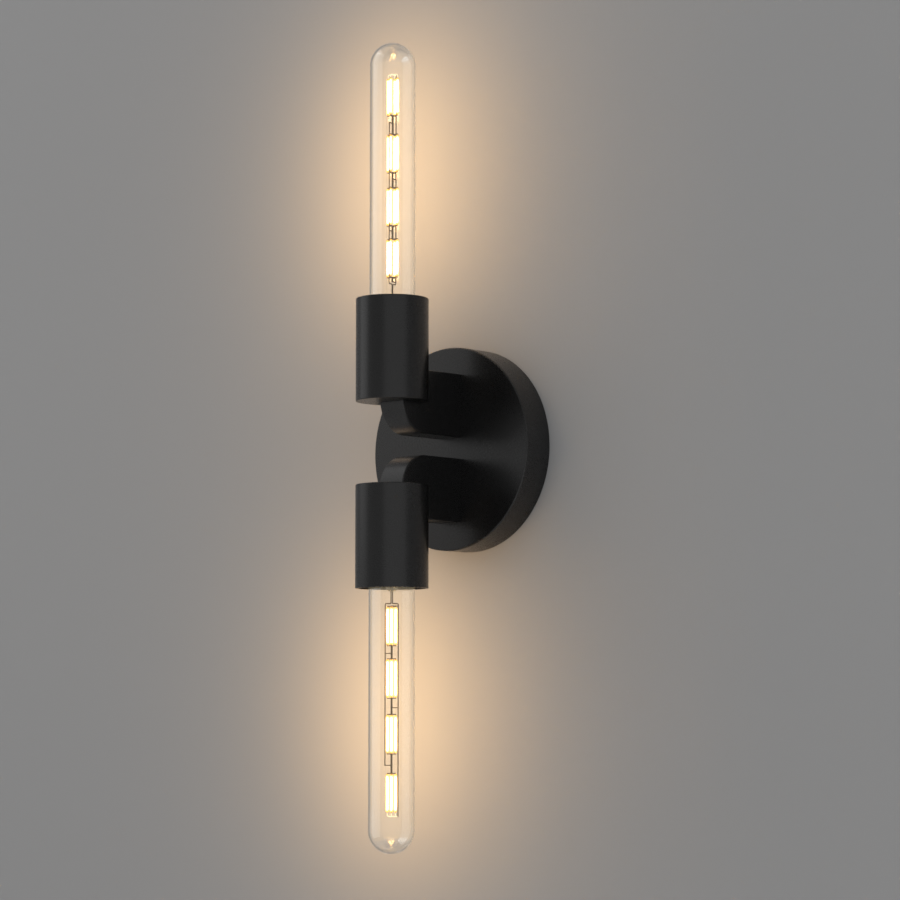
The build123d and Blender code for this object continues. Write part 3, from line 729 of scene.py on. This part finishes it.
class BulbBases(bpy.types.Operator):
    """Finishes the bulbs' plated bases, tip contacts, insulators and driver boards"""

    bl_idname = "wall_light.bulb_bases"
    bl_label = "Bulb Bases"

    def execute(self, context):
        finishes = context.scene.wall_light_finishes
        dress(plated("nickel_plate", finishes.nickel, rough=0.24), *both("bulb_base_shell"))
        dress(plated("soldered_tip", finishes.tin, rough=0.38), *both("bulb_tip_contact"))
        insulator = moulding("black_base_glass", finishes.base_glass, rough=0.14, depth=0.02 * MM)
        dress(insulator, *both("bulb_base_insulator"))
        dress(laminate("board_laminate", finishes.laminate), *both("bulb_driver_board"))
        return {"FINISHED"}


class BulbGlass(bpy.types.Operator):
    """Blows the bulbs' clear glass tubes and clears their stems"""

    bl_idname = "wall_light.bulb_glass"
    bl_label = "Bulb Glass"

    def execute(self, context):
        sizes = context.scene.wall_light_sizes
        finishes = context.scene.wall_light_finishes
        glass = clear_glass("clear_glass", ripple=0.12 * MM, haze=0.03, glow=finishes.painted_glass_glow)
        stem = clear_glass("stem_glass", ripple=0.3 * MM, haze=0.12, glow=finishes.painted_glass_glow)
        dress(stem, *both("bulb_glass_stem"))
        for lamp in LAMPS:
            tube = lathe(glass_rings(sizes, lamp), sizes.glass_sides, lamp_axis(lamp))
            settle(tube, f"{lamp}_glass_tube", glass)
            bpy.ops.object.modifier_add(type="SOLIDIFY")
            wall = tube.modifiers[-1]
            wall.thickness = sizes.glass_wall
            wall.offset = -1.0
            bpy.ops.object.modifier_apply(modifier=wall.name)
            bpy.ops.object.shade_smooth_by_angle(angle=SMOOTH_ANGLE)
            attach(tube, f"{lamp}_bulb")
            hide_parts(f"{lamp}_bulb_glass")
        return {"FINISHED"}


class Filaments(bpy.types.Operator):
    """Lights the filament sticks, each a glowing strip in its phosphor sleeve, and finishes their wires"""

    bl_idname = "wall_light.filaments"
    bl_label = "Filaments"

    def execute(self, context):
        sizes = context.scene.wall_light_sizes
        finishes = context.scene.wall_light_finishes
        wire = plated("nickel_wire", finishes.nickel_wire, rough=0.4, stain=0.6)
        dress(wire, *both("bulb_support_wires"))
        for lamp in LAMPS:
            dress(tie_wire(f"{lamp}_tie_wire", finishes, sizes, lamp), f"{lamp}_bulb_filament_ties")
            strip = strip_glow(f"{lamp}_lit_strip", finishes, sizes, lamp)
            sleeve = sleeve_glow(f"{lamp}_phosphor_sleeve", finishes, sizes, lamp)
            places = stick_places(sizes, lamp)
            for name, material, radius, inset, sides in (
                ("filament_strips", strip, sizes.core_radius, sizes.stick_round, STRIP_SIDES),
                ("filament_sleeves", sleeve, sizes.sleeve_radius, 0.0, SLEEVE_SIDES),
            ):
                rod = rounded_rod(radius, sizes.stick_length - 2 * inset, radius * ROD_ROUNDING, sides)
                piece = copies_joined(rod, places)
                settle(piece, f"{lamp}_{name}", material)
                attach(piece, f"{lamp}_bulb")
                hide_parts(f"{lamp}_bulb_filament_sticks")
        return {"FINISHED"}


class Stage(bpy.types.Operator):
    """Sets the plain floor, the plain backdrop, the soft lights and the camera"""

    bl_idname = "wall_light.stage"
    bl_label = "Stage"

    def execute(self, context):
        scene = context.scene
        stage = scene.wall_light_stage
        scene.view_settings.view_transform = "Standard"
        backdrop_wall(stage)
        floor(stage)
        soft_light("key_light", stage.key_power, **KEY_PANEL)
        soft_light("front_light", stage.front_power, **FRONT_PANEL)
        window = soft_light("glass_light", stage.glass_power, **GLASS_PANEL)
        mirror_only_in(window, stage.daylight, [bpy.data.objects[f"{lamp}_glass_tube"] for lamp in LAMPS])
        wall_washes(stage)
        surroundings(scene, stage)
        camera(scene)
        return {"FINISHED"}


def backdrop_wall(stage):
    """A plain wall just behind the light, with a round wiring hole that the canopy covers."""
    nothing_selected()
    place = (0, WALL_GAP, 0)
    bpy.ops.mesh.primitive_circle_add(
        vertices=HOLE_SIDES, radius=HOLE_RADIUS, rotation=(math.pi / 2, 0, 0), location=place,
    )
    wall = bpy.context.object
    bpy.ops.object.mode_set(mode="EDIT")
    bpy.ops.mesh.select_all(action="SELECT")
    for ratio in WALL_RINGS:
        bpy.ops.mesh.extrude_edges_move(TRANSFORM_OT_translate={"value": (0, 0, 0)})
        bpy.ops.transform.resize(value=(ratio, 1.0, ratio), center_override=place)
    settle(wall, "backdrop_wall", stage_paint("backdrop_paint", stage.backdrop))
    if wall.data.polygons[0].normal.y > 0:
        wall.data.flip_normals()


def floor(stage):
    """A plain pale floor under the light."""
    nothing_selected()
    bpy.ops.mesh.primitive_plane_add(size=FLOOR_WIDTH, location=(0, 0, stage.floor_height))
    plane = bpy.context.object
    settle(plane, "pale_floor", stage_paint("floor_paint", stage.floor))


def soft_light(name, power, azimuth, height, distance, width, tall):
    """A soft rectangle of light that faces the middle of the wall light."""
    turn = math.radians(azimuth)
    place = PANEL_AIM + Vector((math.sin(turn) * distance, -math.cos(turn) * distance, height))
    nothing_selected()
    bpy.ops.object.light_add(type="AREA", location=place)
    light = bpy.context.object
    light.name = light.data.name = name
    light.rotation_euler = (PANEL_AIM - place).to_track_quat("-Z", "Y").to_euler()
    light.data.shape = "RECTANGLE"
    light.data.size = width
    light.data.size_y = tall
    light.data.energy = power
    light.visible_camera = light.visible_transmission = False
    return light


def mirror_only_in(light, tint, pieces):
    """Links a light to a few pieces: it shows in their reflections, outside and inside, and nowhere else."""
    paint = Paint(light.name, light.data)
    mirrored = paint.add("ShaderNodeLightPath", output="Glossy Depth")
    glow = {"Color": opaque(tint), "Strength": mirrored.math("MINIMUM", mirrored, 1.0)}
    paint.done(paint.add("ShaderNodeEmission", inputs=glow), "ShaderNodeOutputLight")
    light.visible_transmission = True
    shown = bpy.data.collections.new(f"{light.name}_pieces")
    for piece in pieces:
        shown.objects.link(piece)
    light.light_linking.receiver_collection = shown


def wall_washes(stage):
    """A warm strip of light on the backdrop beside each bulb."""
    for lamp, up in LAMPS.items():
        low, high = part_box(f"{lamp}_bulb_glass")
        place = (WASH_X, WASH_Y, (low.z + high.z) / 2 + up * WASH_OUT + WASH_UP)
        nothing_selected()
        bpy.ops.object.light_add(type="AREA", location=place, rotation=(math.pi / 2, 0, 0))
        light = bpy.context.object
        light.name = light.data.name = f"{lamp}_wall_wash"
        light.data.shape = "RECTANGLE"
        light.data.size = WASH_WIDTH
        light.data.size_y = WASH_TALL
        light.data.energy = stage.wash_power
        light.data.color = stage.wash
        light.visible_camera = light.visible_glossy = light.visible_transmission = False


def surroundings(scene, stage):
    """Even pale light from all round and the plain background, dimmer as finishes and glass show it."""
    paint = Paint("surroundings", bpy.data.worlds.new("surroundings"))
    mirrored = paint.add("ShaderNodeLightPath", output="Is Glossy Ray")
    through_glass = paint.add("ShaderNodeLightPath", output="Is Transmission Ray")
    room = paint.blend(mirrored, stage.background, stage.mirrored)
    tint = paint.blend(through_glass, room, stage.glass_edge)
    sky = paint.add("ShaderNodeBackground", inputs={"Color": tint})
    scene.world = paint.done(sky, "ShaderNodeOutputWorld")


def camera(scene):
    """The photographed angle: from the right and a little below, with a long lens."""
    turn, rise = CAMERA_AZIMUTH, CAMERA_RISE
    right = Vector((math.cos(turn), math.sin(turn), 0))
    back = Vector((math.sin(turn) * math.cos(rise), -math.cos(turn) * math.cos(rise), math.sin(rise)))
    up = back.cross(right)
    aim = AIM_RIGHT * right + AIM_UP * up
    nothing_selected()
    bpy.ops.object.camera_add()
    view = bpy.context.object
    view.name = view.data.name = "photo_camera"
    turned = Matrix((right, up, back)).transposed().to_4x4()
    turned.translation = aim + CAMERA_DISTANCE * back
    view.matrix_world = turned
    view.data.sensor_width = SENSOR_WIDTH
    view.data.lens = SENSOR_WIDTH * FOCAL_PIXELS / PICTURE_WIDTH
    view.data.clip_start, view.data.clip_end = CLIP_NEAR, CLIP_FAR
    scene.camera = view


class WallLightPanel(bpy.types.Panel):
    """The wall light's steps and settings"""

    bl_idname = "VIEW3D_PT_wall_light"
    bl_label = "Wall Light"
    bl_space_type = "VIEW_3D"
    bl_region_type = "UI"
    bl_category = "Wall Light"

    def draw(self, context):
        for step in STEPS:
            self.layout.operator(step.bl_idname)
        scene = context.scene
        for group in (scene.wall_light_sizes, scene.wall_light_finishes, scene.wall_light_stage):
            box = self.layout.box()
            for name in group.__annotations__:
                box.prop(group, name)


STEPS = (PowderCoat, WallHardware, Wiring, Lampholders, BulbBases, BulbGlass, Filaments, Stage)
CLASSES = (WallLightSizes, WallLightFinishes, WallLightStage, *STEPS, WallLightPanel)


def register():
    for kind in CLASSES:
        bpy.utils.register_class(kind)
    bpy.types.Scene.wall_light_sizes = PointerProperty(type=WallLightSizes)
    bpy.types.Scene.wall_light_finishes = PointerProperty(type=WallLightFinishes)
    bpy.types.Scene.wall_light_stage = PointerProperty(type=WallLightStage)


def unregister():
    del bpy.types.Scene.wall_light_stage
    del bpy.types.Scene.wall_light_finishes
    del bpy.types.Scene.wall_light_sizes
    for kind in reversed(CLASSES):
        bpy.utils.unregister_class(kind)


def main():
    """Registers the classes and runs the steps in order."""
    register()
    bpy.ops.wall_light.powder_coat()
    bpy.ops.wall_light.wall_hardware()
    bpy.ops.wall_light.wiring()
    bpy.ops.wall_light.lampholders()
    bpy.ops.wall_light.bulb_bases()
    bpy.ops.wall_light.bulb_glass()
    bpy.ops.wall_light.filaments()
    bpy.ops.wall_light.stage()


if __name__ == "__main__":
    main()
